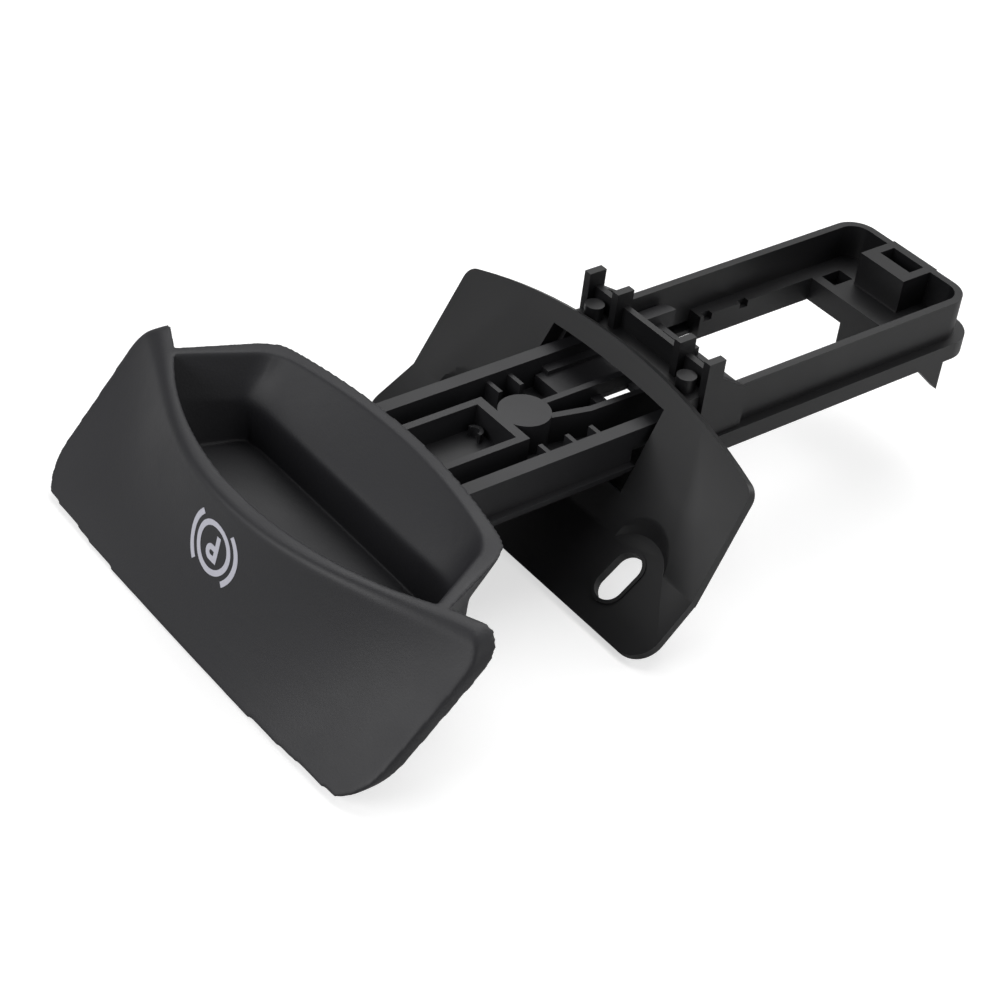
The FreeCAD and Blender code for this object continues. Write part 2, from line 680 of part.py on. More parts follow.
def make_slider_ribs(body, floor):
    n = Named
    thick = n.RibThick
    side = n.StraightRib - thick / 2
    extrude(body, "StraightRib", "XY_Plane", floor, n.RibTop,
            box_outline(side, side + thick, n.PadCentre, n.TrayEnd - thick / 2))
    extrude(body, "Platform", "XY_Plane", floor - n.Overlap, n.PlatformTop,
            platform_outline(ZERO))
    extrude(body, "PlatformHollow", "XY_Plane", n.RunnerFoot - n.CutPast,
            n.PlatformTop - n.PlatformThick, platform_outline(thick), cut=True)
    left = n.KinkX - thick / 2
    right = n.KinkX + thick / 2
    end = n.TrayEnd - thick / 2
    extrude(body, "KinkedRib", "XY_Plane", floor, n.RibTop, [
        corner(n.KinkRoot, n.PadCentre), corner(n.KinkRoot + n.KinkWidth, n.PadCentre),
        corner(right, n.KinkY - n.KinkSkew), corner(right + n.KinkDrift, end),
        corner(left + n.KinkDrift, end), corner(left, n.KinkY + n.KinkSkew)])
    far = n.RailInner + n.Overlap
    right_side = (n.CrossRibNear, far)
    left_side = (-far, -n.CrossRibNear)
    ribs = [(n.RightRibFront, right_side), (n.RightRibMiddle, right_side),
            (n.RightRibRear, right_side), (n.LeftRibFront, left_side),
            (n.LeftRibRear, left_side)]
    for number, (place, (low, high)) in enumerate(ribs):
        extrude(body, "CrossRib" + str(number), "XY_Plane", floor, n.RibTop - n.RibStep,
                box_outline(low, high, place - thick / 3, place + thick / 3))


def make_guide_bracket():
    n = Named
    body = new_body("guide_bracket")
    ear = (n.EarSlope, n.BendY, n.BendZ)
    panel = (n.PanelSlope, n.BendY, n.BendZ)
    overlap = n.Sheet / 2
    extrude(body, "Panel", "XY_Plane", -n.Sheet, ZERO, [
        corner(-n.PanelHalf, -overlap), corner(n.PanelHalf, -overlap),
        corner(n.RimHalf, n.RimSide, via=(0, n.RimMiddle)), corner(-n.RimHalf, n.RimSide),
    ], tilt=panel)
    round_edges(body, "RimRounding", n.RimCorner, is_rim_corner)
    extrude(body, "Ears", "XY_Plane", -n.Sheet, ZERO, [
        corner(-n.EarHalf, -n.EarLength, n.EarCorner),
        corner(n.EarHalf, -n.EarLength, n.EarCorner),
        corner(n.PanelHalf, 0), corner(-n.PanelHalf, 0),
    ], tilt=ear)
    make_frame(body)
    make_screw_seats(body, ear, panel)
    extrude(body, "Passage", "XY_Plane", -n.Sheet * 2, n.Sheet, [
        corner(-n.PassHalfFoot, n.PassFoot), corner(n.PassHalfFoot, n.PassFoot),
        corner(n.PassHalfTop, n.PassTop - n.PassDrop, via=(0, n.PassTop)),
        corner(-n.PassHalfTop, n.PassTop - n.PassDrop),
    ], cut=True, tilt=panel)
    return body


def is_rim_corner(edge):
    """A short edge through the panel at either end of its rim."""
    n = Named
    upper = edge.CenterOfMass.z > n.BendZ.number + n.RimSide.number / 2
    return upper and abs(edge.Length - n.Sheet.number) < 0.01


def slot_outline(half, straight, middle):
    """A slot with round ends, drawn down the ears' slope."""
    n = Named
    end = straight + half
    return [
        corner(n.ScrewHalf - half, -middle - straight, via=(n.ScrewHalf, -middle - end)),
        corner(n.ScrewHalf + half, -middle - straight),
        corner(n.ScrewHalf + half, -middle + straight, via=(n.ScrewHalf, -middle + end)),
        corner(n.ScrewHalf - half, -middle + straight),
    ]


def make_screw_seats(body, ear, panel):
    """A flared recess for each screw's head, with its wall behind the panel."""
    n = Named
    middle = root(n.BendY * n.BendY + n.BendZ * n.BendZ)
    centre = n.RecessUp - middle
    outer = n.RecessRadius + n.RecessBacking
    reach = root(outer * outer - centre * centre)
    backing = extrude(body, "SeatBacking", "XY_Plane", -n.Sheet, n.RecessDepth, [
        corner(n.ScrewHalf - reach, 0), corner(n.ScrewHalf + reach, 0,
                                               via=(n.ScrewHalf, centre + outer)),
    ], tilt=ear)
    face = extrude(body, "SeatFacing", "XY_Plane", ZERO, n.RecessDepth * 2,
                   box_outline(n.ScrewHalf - outer, n.ScrewHalf + outer, 0, outer * 2),
                   cut=True, tilt=panel)
    mirror(body, "SeatBackings", [backing, face])
    for side, name in ((1, "Right"), (-1, "Left")):
        cone = body.newObject("PartDesign::SubtractiveCone", name + "Recess")
        cone.AttachmentSupport = [(origin_plane(body, "XY_Plane"), "")]
        cone.MapMode = "FlatFace"
        turn = FreeCAD.Rotation(FreeCAD.Vector(1, 0, 0), n.EarSlope.number)
        cone.AttachmentOffset = FreeCAD.Placement(FreeCAD.Vector(0, 0, 0), turn)
        drive(cone, "AttachmentOffset.Rotation.Angle", n.EarSlope)
        drive(cone, "AttachmentOffset.Base.x", n.ScrewHalf * side)
        drive(cone, "AttachmentOffset.Base.y", n.BendY + cosine(n.EarSlope) * centre)
        drive(cone, "AttachmentOffset.Base.z", n.BendZ + sine(n.EarSlope) * centre)
        flare = sine(n.RecessFlare) / cosine(n.RecessFlare)
        drive(cone, "Radius1", n.RecessRadius)
        drive(cone, "Radius2", n.RecessRadius + flare * n.RecessDepth)
        drive(cone, "Height", n.RecessDepth)
        settle(body, cone, False, volume(body))
    half = n.ScrewSlotWidth / 2
    straight = n.ScrewSlotLength / 2 - half
    rim = extrude(body, "SlotRim", "XY_Plane", -n.Overlap, n.SlotRimHeight,
                  slot_outline(half + n.SlotRim, straight, middle), tilt=ear)
    mirror(body, "SlotRims", [rim])
    slot = extrude(body, "ScrewSlot", "XY_Plane", -n.Sheet * 1.5, n.Sheet,
                   slot_outline(half, straight, middle), cut=True, tilt=ear)
    mirror(body, "ScrewSlots", [slot])


def make_frame(body):
    """The long frame behind the panel, with the slider's groove in its base."""
    n = Named
    start = n.BendY + n.Sheet
    extrude(body, "Base", "XY_Plane", n.FlangeFoot, n.FlangeTop, [
        corner(-n.FlangeHalf, start), corner(n.FlangeHalf, start),
        corner(n.FlangeHalf, n.FlangeEnd, n.FlangeCorner),
        corner(-n.FlangeHalf, n.FlangeEnd, n.FlangeCorner)])
    foot = n.FlangeTop - n.Overlap
    extrude(body, "Walls", "XY_Plane", foot, n.WallTop, [
        corner(-n.WallHalf, n.WallFront), corner(n.WallHalf, n.WallFront),
        corner(n.WallHalf, n.FrameEnd, n.FrameCorner),
        corner(-n.WallHalf, n.FrameEnd, n.FrameCorner)])
    extrude(body, "LowWalls", "XY_Plane", foot, n.RoofFoot + n.RoofThick,
            box_outline(-n.WallHalf, n.WallHalf, n.LowWallFront, n.WallFront + n.Overlap))
    panel = (n.PanelSlope, n.BendY, n.BendZ)
    extrude(body, "PanelFacing", "XY_Plane", ZERO, n.FlangeEnd / 2,
            box_outline(-n.PanelHalf / 2, n.PanelHalf / 2, ZERO, n.RimMiddle * 2),
            cut=True, tilt=panel)
    inner = n.WallHalf - n.FrameWall
    lip_top = n.RunnerFoot - n.RunGap
    groove_top = n.RunnerFoot + n.RunnerThick + n.RunGap
    groove = n.RunnerHalf + n.SideGap
    deep = n.FlangeFoot - n.CutPast
    channel = [(n.LipInner, deep), (n.LipInner, lip_top), (groove, lip_top),
               (groove, groove_top), (inner, groove_top), (inner, n.RoofFoot)]
    extrude(body, "Channel", "XZ_Plane", ZERO, n.GrooveEnd, both_sides(channel), cut=True)
    extrude(body, "Well", "XY_Plane", n.LedgeTop, n.WallTop + n.CutPast, [
        corner(-inner, n.WallFront), corner(inner, n.WallFront),
        corner(inner, n.FrameEnd - n.FrameWall, n.FrameCorner - n.FrameWall),
        corner(-inner, n.FrameEnd - n.FrameWall, n.FrameCorner - n.FrameWall)], cut=True)
    over = n.LedgeTop + n.CutPast
    extrude(body, "Window", "XY_Plane", deep, over,
            box_outline(-n.WindowHalf, n.WindowHalf, n.WindowFront, n.WindowEnd), cut=True)
    for number, place in enumerate((n.FirstNotch, n.SecondNotch)):
        extrude(body, "LedgeNotch" + str(number), "XY_Plane", n.FlangeTop, over,
                box_outline(-n.WindowHalf - n.LedgeNotch, -n.WindowHalf + n.CutPast,
                            place - n.NotchLength / 2, place + n.NotchLength / 2), cut=True)
    extrude(body, "RearPocket", "XY_Plane", n.LedgeTop - n.RearPocketDepth, over,
            box_outline(n.RearPocketLeft, n.RearPocketLeft + n.RearPocketWidth,
                        n.RearPocketFront, n.RearPocketFront + n.RearPocketLength), cut=True)
    make_cross_wall(body, inner)
    make_rear(body)


def make_cross_wall(body, inner):
    """The cross wall with its four posts, and the roof and pegs in front of it."""
    n = Named
    extrude(body, "Roof", "XY_Plane", n.RoofFoot, n.RoofFoot + n.RoofThick,
            box_outline(-n.WallHalf, n.WallHalf, n.PostFront, n.CrossFront + n.CrossThick / 3))
    extrude(body, "CrossWall", "XZ_Plane", n.CrossFront, n.CrossFront + n.CrossThick,
            box_outline(-n.WallHalf, n.WallHalf, n.CrossFoot, n.CrossTop))
    back = n.PostFront + n.PostDepth
    foot = n.FlangeTop - n.Overlap
    post = extrude(body, "InnerPost", "YZ_Plane", n.InnerPost - n.PostThick / 2,
                   n.InnerPost + n.PostThick / 2,
                   box_outline(n.PostFront, back, n.CrossFoot, n.PostTop))
    mirror(body, "InnerPosts", [post])
    horn = extrude(body, "OuterPost", "YZ_Plane", n.OuterPost - n.PostThick / 2,
                   n.OuterPost + n.PostThick / 2, [
                       corner(n.PostFront, foot), corner(n.HornEnd, foot),
                       corner(n.HornEnd, n.WallTop), corner(back + n.HornStep, n.HornShoulder),
                       corner(back, n.HornShoulder + n.HornLean), corner(back, n.PostTop),
                       corner(n.PostFront, n.PostTop)])
    mirror(body, "OuterPosts", [horn])
    top = n.RoofFoot + n.RoofThick
    peg = extrude(body, "Peg", "XY_Plane", n.RoofFoot, top + n.PegHeight,
                  disc=(n.PegHalf, n.PegFront, n.PegRadius))
    mirror(body, "Pegs", [peg])


def make_rear(body):
    """The rear socket, the slotted plate for a cable's sheath and the tab."""
    n = Named
    foot = n.LedgeTop - n.Overlap
    extrude(body, "Tower", "XY_Plane", foot, n.WallTop,
            box_outline(-n.TowerHalf, n.TowerHalf, n.TowerFront, n.TowerEnd))
    extrude(body, "Socket", "XY_Plane", n.SocketFoot, n.WallTop + n.CutPast,
            box_outline(-n.SocketHalf, n.SocketHalf, n.SocketFront,
                        n.SocketFront + n.SocketLength), cut=True)
    lean = n.TowerFront - n.SheathFront
    extrude(body, "SheathPlate", "YZ_Plane", -n.TowerHalf, n.TowerHalf, [
        corner(n.SheathFront, n.SheathFoot), corner(n.SheathFront + n.SheathThick, n.SheathFoot),
        corner(n.SheathFront + n.SheathThick, n.SheathTop),
        corner(n.SheathFront + n.SheathThick + lean, n.SheathHead),
        corner(n.SheathFront + lean, n.SheathHead), corner(n.SheathFront, n.SheathTop)])
    extrude(body, "SheathSlot", "XZ_Plane", n.SheathFront - n.CutPast,
            n.SheathFront + n.SheathThick + n.CutPast,
            box_outline(-n.SheathSlot / 2, n.SheathSlot / 2, n.SheathFoot - n.CutPast,
                        n.FlangeFoot),
            cut=True)
    extrude(body, "Tab", "YZ_Plane", n.FlangeHalf - n.TabThick, n.FlangeHalf, [
        corner(n.TabFront, n.FlangeFoot + n.Overlap), corner(n.TabEnd, n.TabFoot),
        corner(n.TabEnd, n.FlangeFoot + n.Overlap)])


def write(bodies):
    doc.recompute()
    for thing in doc.Objects:
        if "Invalid" in thing.State or "Error" in thing.State:
            raise ValueError(thing.Label + " failed")
    os.makedirs("parts", exist_ok=True)
    for body in bodies:
        shape = body.Shape
        if shape.isNull() or not shape.isValid() or len(shape.Solids) != 1:
            raise ValueError(body.Label + " is not one valid solid")
        shape.exportStep("parts/" + body.Label + ".step")
        box = shape.BoundBox
        print(body.Label, round(shape.Volume), [round(value, 1) for value in
              (box.XMin, box.XMax, box.YMin, box.YMax, box.ZMin, box.ZMax)])


write([make_grip(), make_slider(), make_guide_bracket()])
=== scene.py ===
import math

import bmesh
import bpy
from mathutils import Matrix, Vector
from mathutils.kdtree import KDTree


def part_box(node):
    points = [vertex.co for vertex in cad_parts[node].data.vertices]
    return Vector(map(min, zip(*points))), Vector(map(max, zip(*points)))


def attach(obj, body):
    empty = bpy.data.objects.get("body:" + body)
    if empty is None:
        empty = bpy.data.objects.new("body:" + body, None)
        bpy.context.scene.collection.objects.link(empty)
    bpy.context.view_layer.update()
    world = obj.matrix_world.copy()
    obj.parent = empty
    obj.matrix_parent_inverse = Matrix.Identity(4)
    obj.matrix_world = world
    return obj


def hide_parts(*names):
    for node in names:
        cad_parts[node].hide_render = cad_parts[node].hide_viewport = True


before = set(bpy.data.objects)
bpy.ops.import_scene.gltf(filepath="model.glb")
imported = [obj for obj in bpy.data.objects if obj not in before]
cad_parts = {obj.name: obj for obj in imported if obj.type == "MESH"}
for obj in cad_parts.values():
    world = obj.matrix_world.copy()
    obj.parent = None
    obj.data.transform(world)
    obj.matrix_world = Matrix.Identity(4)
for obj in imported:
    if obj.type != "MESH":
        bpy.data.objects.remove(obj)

bl_info = {
    "name": "Release Handle Looks",
    "version": (1, 0, 0),
    "blender": (4, 5, 0),
    "location": "View3D > Sidebar > Handle",
    "description": "Looks of a parking brake release handle",
    "category": "Object",
}

MM = 0.001
GRIP_LOW, GRIP_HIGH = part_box("grip")
BRACKET_LOW, BRACKET_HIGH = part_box("guide_bracket")

# The grip's lip in plan: bowed in the middle, straight towards both ends.
LIP_FRONT = -75.1 * MM
LIP_BOW = 72 * MM
LIP_BOW_HALF = 31 * MM
FACE_SKIN, FACE_WIDTHS = 2 * MM, 1.9

# The cup's back corners in plan, in mm: where they stand at the rim, how far they shift
# from there down to the bend, and the half turn between the walls that meet in them.
CORNER_X, CORNER_X_SHIFT = 36.4, 0.8
CORNER_Y, CORNER_Y_SHIFT = 39.2, 5.5
CORNER_DEPTH = 9 * MM
CORNER_TURN = math.radians(26.6)
CORNER_ALONG = Vector((0.628, -0.778))
CORNER_INWARD = Vector((-0.778, -0.628))
CORNER_REACH = 4 * MM
CORNER_FADE, CORNER_WIDTHS = 7 * MM, 1.7

# The bend in the cup's back wall.
BEND_Y, BEND_Z = 45 * MM, 19.3 * MM
BEND_FADE, BEND_WIDTHS = 3 * MM, 1.6

# The even mesh that the grip's edges are rounded on.
MERGE = 0.002 * MM
MESH_DEPTH = 9
SHARP_EDGE = math.radians(30)
EDGE_STEP = 0.1 * MM
EDGE_PULL = 0.75
EDGE_PASSES, FACE_PASSES, BEND_PASSES = 14, 20, 75
KEPT_FACES = 0.42

# The webs under the runners, in mm.
WEB_MIDDLE = (12.7, 16.8, 9.9)
WEB_SIZE = (10.4, 15.8, 1)

# The mark is laid onto the face from this far in front of the grip.
PRINT_AHEAD = 10 * MM
PRINT_THICKNESS = 0.04 * MM

# The floor, the surroundings and the lamps: name, place, size and power of each lamp.
EAR_TOUCH = -7.7 * MM
FLOOR_FRONT, FLOOR_LEVEL, FLOOR_LOW, FLOOR_END = -2.0, 0.02, 0.14, 2.5
FLOOR_GLOW = (("From Min", 0.25), ("From Max", 0.8), ("To Min", 0.62), ("To Max", 1))
ROOM_LIGHT = 0.22
LAMPS = (
    ("Top softbox", (-0.25, 0.35, 0.75), (0.7, 0.7), 4.2),
    ("Front softbox", (-0.15, -0.75, 0.45), (0.6, 0.45), 3.4),
    ("Side softbox", (0.8, 0.1, 0.35), (0.5, 0.4), 1.0),
    ("Back softbox", (0.2, 0.95, 0.4), (0.6, 0.45), 2.4),
)


class HandleFinish(bpy.types.PropertyGroup):
    """Colours and surface of the three moulded plastics."""

    grip_colour: bpy.props.FloatVectorProperty(
        name="Grip colour", description="Grained black plastic of the grip",
        subtype="COLOR", size=3, min=0, max=1, default=(0.018, 0.018, 0.021))
    grip_roughness: bpy.props.FloatProperty(
        name="Grip roughness", description="Roughness of the grip's grained surface",
        subtype="FACTOR", min=0, max=1, default=0.52)
    grain_size: bpy.props.FloatProperty(
        name="Grain size", description="Size of the grain on the grip",
        unit="LENGTH", min=0.0001, max=0.002, default=0.42 * MM)
    slider_colour: bpy.props.FloatVectorProperty(
        name="Slider colour", description="Satin black plastic of the slider",
        subtype="COLOR", size=3, min=0, max=1, default=(0.017, 0.017, 0.019))
    bracket_colour: bpy.props.FloatVectorProperty(
        name="Bracket colour", description="Satin black plastic of the guide bracket",
        subtype="COLOR", size=3, min=0, max=1, default=(0.009, 0.009, 0.010))
    satin_roughness: bpy.props.FloatProperty(
        name="Satin roughness", description="Roughness of the slider and the bracket",
        subtype="FACTOR", min=0, max=1, default=0.4)
    soft_mesh: bpy.props.FloatProperty(
        name="Grip mesh", description="Mesh size of the softened grip",
        unit="LENGTH", min=0.00025, max=0.002, default=0.36 * MM)
    edge_round: bpy.props.FloatProperty(
        name="Edge rounding", description="Rounding of moulded edges",
        unit="LENGTH", min=0, max=0.002, default=0.3 * MM)


class HandleMark(bpy.types.PropertyGroup):
    """The printed parking brake symbol on the grip's face."""

    height: bpy.props.FloatProperty(
        name="Height", description="Height of the mark's centre on the face",
        unit="LENGTH", default=17.5 * MM)
    ring_radius: bpy.props.FloatProperty(
        name="Ring radius", description="Outer radius of the ring round the letter",
        unit="LENGTH", default=5.35 * MM)
    line: bpy.props.FloatProperty(
        name="Line width", description="Width of the ring and the arcs",
        unit="LENGTH", default=1.15 * MM)
    arc_radius: bpy.props.FloatProperty(
        name="Arc radius", description="Outer radius of the two side arcs",
        unit="LENGTH", default=7.5 * MM)
    arc_half: bpy.props.FloatProperty(
        name="Arc half angle", description="Half the angle that each side arc spans",
        subtype="ANGLE", default=math.radians(48))
    letter_height: bpy.props.FloatProperty(
        name="Letter height", description="Height of the letter in the ring",
        unit="LENGTH", default=5.6 * MM)
    colour: bpy.props.FloatVectorProperty(
        name="Mark colour", description="Printed pale grey",
        subtype="COLOR", size=3, min=0, max=1, default=(0.62, 0.62, 0.70))


class HandleStage(bpy.types.PropertyGroup):
    """Camera, floor and lamps."""

    azimuth: bpy.props.FloatProperty(
        name="Azimuth", description="Direction the camera looks from, round the object",
        subtype="ANGLE", default=math.radians(47.67))
    elevation: bpy.props.FloatProperty(
        name="Elevation", description="Height of the camera above the horizon",
        subtype="ANGLE", default=math.radians(37.43))
    roll: bpy.props.FloatProperty(
        name="Roll", description="Turn of the camera about its own axis",
        subtype="ANGLE", default=math.radians(7.76))
    camera_place: bpy.props.FloatVectorProperty(
        name="Camera place", description="Where the camera stands", subtype="TRANSLATION",
        size=3, default=(0.2864, -0.2679, 0.2982))
    lens: bpy.props.FloatProperty(
        name="Lens", description="Focal length on a 36 mm frame, in millimetres",
        min=10, max=300, default=86.17)
    floor_colour: bpy.props.FloatVectorProperty(
        name="Floor colour", description="Pale floor", subtype="COLOR", size=3,
        min=0, max=1, default=(0.62, 0.62, 0.62))


class NodeMaker:
    """Adds and links the nodes of one tree."""

    def __init__(self, tree):
        self.tree = tree
        tree.nodes.clear()

    def add(self, kind, inputs=(), **settings):
        node = self.tree.nodes.new(kind)
        for name, value in settings.items():
            setattr(node, name, value)
        for name, value in inputs:
            node.inputs[name].default_value = value
        return node

    def link(self, start, end):
        self.tree.links.new(start, end)


def new_material(name):
    """An empty material and the maker of its nodes."""
    material = bpy.data.materials.new(name)
    material.use_nodes = True
    return material, NodeMaker(material.node_tree)


def shade(colour, share):
    """A colour with each of its parts scaled."""
    return (*[part * share for part in colour], 1)


def moulded_plastic(name, colour, roughness, grain, grain_depth, mottle):
    """Black plastic whose grain, gloss and shade vary over the surface."""
    material, make = new_material(name)
    output = make.add("ShaderNodeOutputMaterial")
    shader = make.add("ShaderNodeBsdfPrincipled", [("IOR", 1.5)])
    make.link(shader.outputs[0], output.inputs["Surface"])
    place = make.add("ShaderNodeTexCoord")

    fine = make.add("ShaderNodeTexNoise",
                    [("Scale", 1 / grain), ("Detail", 3), ("Roughness", 0.55)])
    make.link(place.outputs["Object"], fine.inputs["Vector"])
    pebble = make.add("ShaderNodeTexVoronoi", [("Scale", 0.8 / grain)],
                      feature="SMOOTH_F1")
    make.link(place.outputs["Object"], pebble.inputs["Vector"])
    relief = make.add("ShaderNodeMath", [(1, 0.6)], operation="MULTIPLY_ADD")
    make.link(pebble.outputs["Distance"], relief.inputs[0])
    make.link(fine.outputs["Fac"], relief.inputs[2])
    bump = make.add("ShaderNodeBump", [("Strength", 0.6), ("Distance", grain_depth)])
    make.link(relief.outputs[0], bump.inputs["Height"])
    make.link(bump.outputs[0], shader.inputs["Normal"])

    broad = make.add("ShaderNodeTexNoise", [("Scale", 45), ("Detail", 4)])
    make.link(place.outputs["Object"], broad.inputs["Vector"])
    gloss = make.add("ShaderNodeMapRange",
                     [("From Min", 0.3), ("From Max", 0.7),
                      ("To Min", roughness - 0.05), ("To Max", roughness + 0.06)])
    make.link(broad.outputs["Fac"], gloss.inputs["Value"])
    make.link(gloss.outputs[0], shader.inputs["Roughness"])

    tone = make.add("ShaderNodeMix", data_type="RGBA")
    tone.inputs["A"].default_value = shade(colour, 1 - mottle)
    tone.inputs["B"].default_value = shade(colour, 1 + mottle)
    speck = make.add("ShaderNodeMath", [(1, 0.5)], operation="MULTIPLY_ADD", use_clamp=True)
    make.link(fine.outputs["Fac"], speck.inputs[0])
    half = make.add("ShaderNodeMath", [(1, 0.5)], operation="MULTIPLY")
    make.link(broad.outputs["Fac"], half.inputs[0])
    make.link(half.outputs[0], speck.inputs[2])
    make.link(speck.outputs[0], tone.inputs["Factor"])
    make.link(tone.outputs["Result"], shader.inputs["Base Color"])
    return material


def printed_paint(name, colour):
    """Thin pale print that lets the grain below show faintly."""
    material, make = new_material(name)
    output = make.add("ShaderNodeOutputMaterial")
    shader = make.add("ShaderNodeBsdfPrincipled", [("Roughness", 0.5)])
    make.link(shader.outputs[0], output.inputs["Surface"])
    place = make.add("ShaderNodeTexCoord")
    noise = make.add("ShaderNodeTexNoise", [("Scale", 2600), ("Detail", 2)])
    make.link(place.outputs["Object"], noise.inputs["Vector"])
    tone = make.add("ShaderNodeMix", data_type="RGBA")
    tone.inputs["A"].default_value = shade(colour, 0.9)
    tone.inputs["B"].default_value = shade(colour, 1)
    make.link(noise.outputs["Fac"], tone.inputs["Factor"])
    make.link(tone.outputs["Result"], shader.inputs["Base Color"])
    bump = make.add("ShaderNodeBump", [("Strength", 0.3), ("Distance", 0.02 * MM)])
    make.link(noise.outputs["Fac"], bump.inputs["Height"])
    make.link(bump.outputs[0], shader.inputs["Normal"])
    return material


def smooth_shading_tree():
    """A tree that shades faces smooth, so that rounded edges catch the light evenly."""
    tree = bpy.data.node_groups.new("Smooth Moulding", "GeometryNodeTree")
    tree.interface.new_socket("Geometry", in_out="INPUT", socket_type="NodeSocketGeometry")
    tree.interface.new_socket("Geometry", in_out="OUTPUT", socket_type="NodeSocketGeometry")
    make = NodeMaker(tree)
    start = make.add("NodeGroupInput")
    end = make.add("NodeGroupOutput")
    smooth = make.add("GeometryNodeSetShadeSmooth", [("Shade Smooth", True)])
    make.link(start.outputs[0], smooth.inputs["Geometry"])
    make.link(smooth.outputs[0], end.inputs[0])
    return tree


def soften_edges(node, width, tree):
    """Round the moulded edges of a solid with live modifiers; its own mesh stays."""
    weld = node.modifiers.new("Weld", "WELD")
    weld.merge_threshold = MERGE
    flat = node.modifiers.new("Flatten", "DECIMATE")
    flat.decimate_type = "DISSOLVE"
    flat.angle_limit = math.radians(0.4)
    bevel = node.modifiers.new("Rounded edges", "BEVEL")
    bevel.width = width
    bevel.segments = 2
    bevel.limit_method = "ANGLE"
    bevel.angle_limit = math.radians(35)
    smooth = node.modifiers.new("Smooth", "NODES")
    smooth.node_group = tree
    weight = node.modifiers.new("Even shading", "WEIGHTED_NORMAL")
    weight.weight = 80


def dress_node(name, material, width, tree):
    """Give a node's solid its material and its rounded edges."""
    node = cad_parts[name]
    node.data.materials.clear()
    node.data.materials.append(material)
    soften_edges(node, width, tree)


def shared_tree():
    """The shading tree, made once for all solids."""
    return bpy.data.node_groups.get("Smooth Moulding") or smooth_shading_tree()


def placed(name, data):
    """A new object in the scene."""
    made = bpy.data.objects.new(name, data)
    bpy.context.scene.collection.objects.link(made)
    return made


def finished_mesh(name, mesh):
    """A new object in the scene from a mesh under construction, which is freed."""
    data = bpy.data.meshes.new(name)
    mesh.to_mesh(data)
    mesh.free()
    return placed(name, data)


def baked(piece, name):
    """The piece with its modifiers turned into a plain mesh."""
    view = bpy.context.evaluated_depsgraph_get()
    mesh = bpy.data.meshes.new_from_object(piece.evaluated_get(view))
    mesh.name = name
    made = placed(name, mesh)
    bpy.data.objects.remove(piece)
    return made


def merged_copy(node, name):
    """A copy of a solid with its loose triangles joined."""
    mesh = bmesh.new()
    mesh.from_mesh(node.data)
    bmesh.ops.remove_doubles(mesh, verts=mesh.verts, dist=MERGE)
    return finished_mesh(name, mesh)


def lip_front(x):
    """Front of the grip's lip at a distance from the middle."""
    inner = min(abs(x), LIP_BOW_HALF)
    rise = math.sqrt(LIP_BOW * LIP_BOW - inner * inner)
    return LIP_FRONT + LIP_BOW - rise + max(0, abs(x) - LIP_BOW_HALF) * inner / rise


def fade(away, width, widths):
    """1 near a place and 0 from so many widths away, with one width of slope between."""
    return min(1, max(0, widths - away / width))


def face_share(x, y, z):
    """How much a point of the grip belongs to the front skin of its face plate."""
    drop = (GRIP_HIGH.z - z) / (GRIP_HIGH.z - GRIP_LOW.z)
    front = lip_front(x) + (GRIP_LOW.y - lip_front(x)) * drop
    return fade(y - front, FACE_SKIN, FACE_WIDTHS)


def sharp_points(mesh_data, step):
    """Points along the sharp edges of a solid."""
    mesh = bmesh.new()
    mesh.from_mesh(mesh_data)
    points = []
    for edge in mesh.edges:
        if len(edge.link_faces) == 2 and edge.calc_face_angle() > SHARP_EDGE:
            start, end = edge.verts[0].co, edge.verts[1].co
            count = max(1, math.ceil((end - start).length / step))
            points += [start.lerp(end, i / count) for i in range(count + 1)]
    mesh.free()
    return points


def true_edges(mesh, points, reach):
    """Pull the points of an even mesh onto the solid's sharp edges near them."""
    tree = KDTree(len(points))
    for index, point in enumerate(points):
        tree.insert(point, index)
    tree.balance()
    for vertex in mesh.vertices:
        place, _, distance = tree.find(vertex.co)
        if distance < reach:
            vertex.co = place


def round_cup_corners(mesh):
    """Bend the two back corners of the cup into soft curves, in plan."""
    slope = math.tan(CORNER_TURN)
    for vertex in mesh.vertices:
        x, y, z = vertex.co
        side = 1 if x > 0 else -1
        drop = (GRIP_HIGH.z - z) / CORNER_DEPTH
        corner = Vector(((CORNER_X - CORNER_X_SHIFT * drop) * MM,
                         -(CORNER_Y + CORNER_Y_SHIFT * min(1, drop)) * MM))
        offset = Vector((abs(x), y)) - corner
        across = abs(offset.dot(CORNER_ALONG))
        if across >= CORNER_REACH:
            continue
        away = abs(offset.dot(CORNER_INWARD) - slope * across)
        share = fade(away, CORNER_FADE, CORNER_WIDTHS)
        depth = share * slope * (CORNER_REACH - across) ** 2 / (2 * CORNER_REACH)
        move = CORNER_INWARD * depth
        vertex.co.x += side * move.x
        vertex.co.y += move.y


def bend_share(x, y, z):
    """How much a point of the grip belongs to the bend in the cup's back wall."""
    away = math.hypot(y + BEND_Y, z - BEND_Z)
    return fade(away, BEND_FADE, BEND_WIDTHS)


def soften(piece, name, share, passes):
    """Smooth the part of a piece that a share function weighs."""
    group = piece.vertex_groups.new(name=name)
    for vertex in piece.data.vertices:
        weight = share(*vertex.co)
        if weight > 0:
            group.add([vertex.index], weight, "REPLACE")
    smooth = piece.modifiers.new(name, "SMOOTH")
    smooth.vertex_group = name
    smooth.factor = 0.5
    smooth.iterations = passes


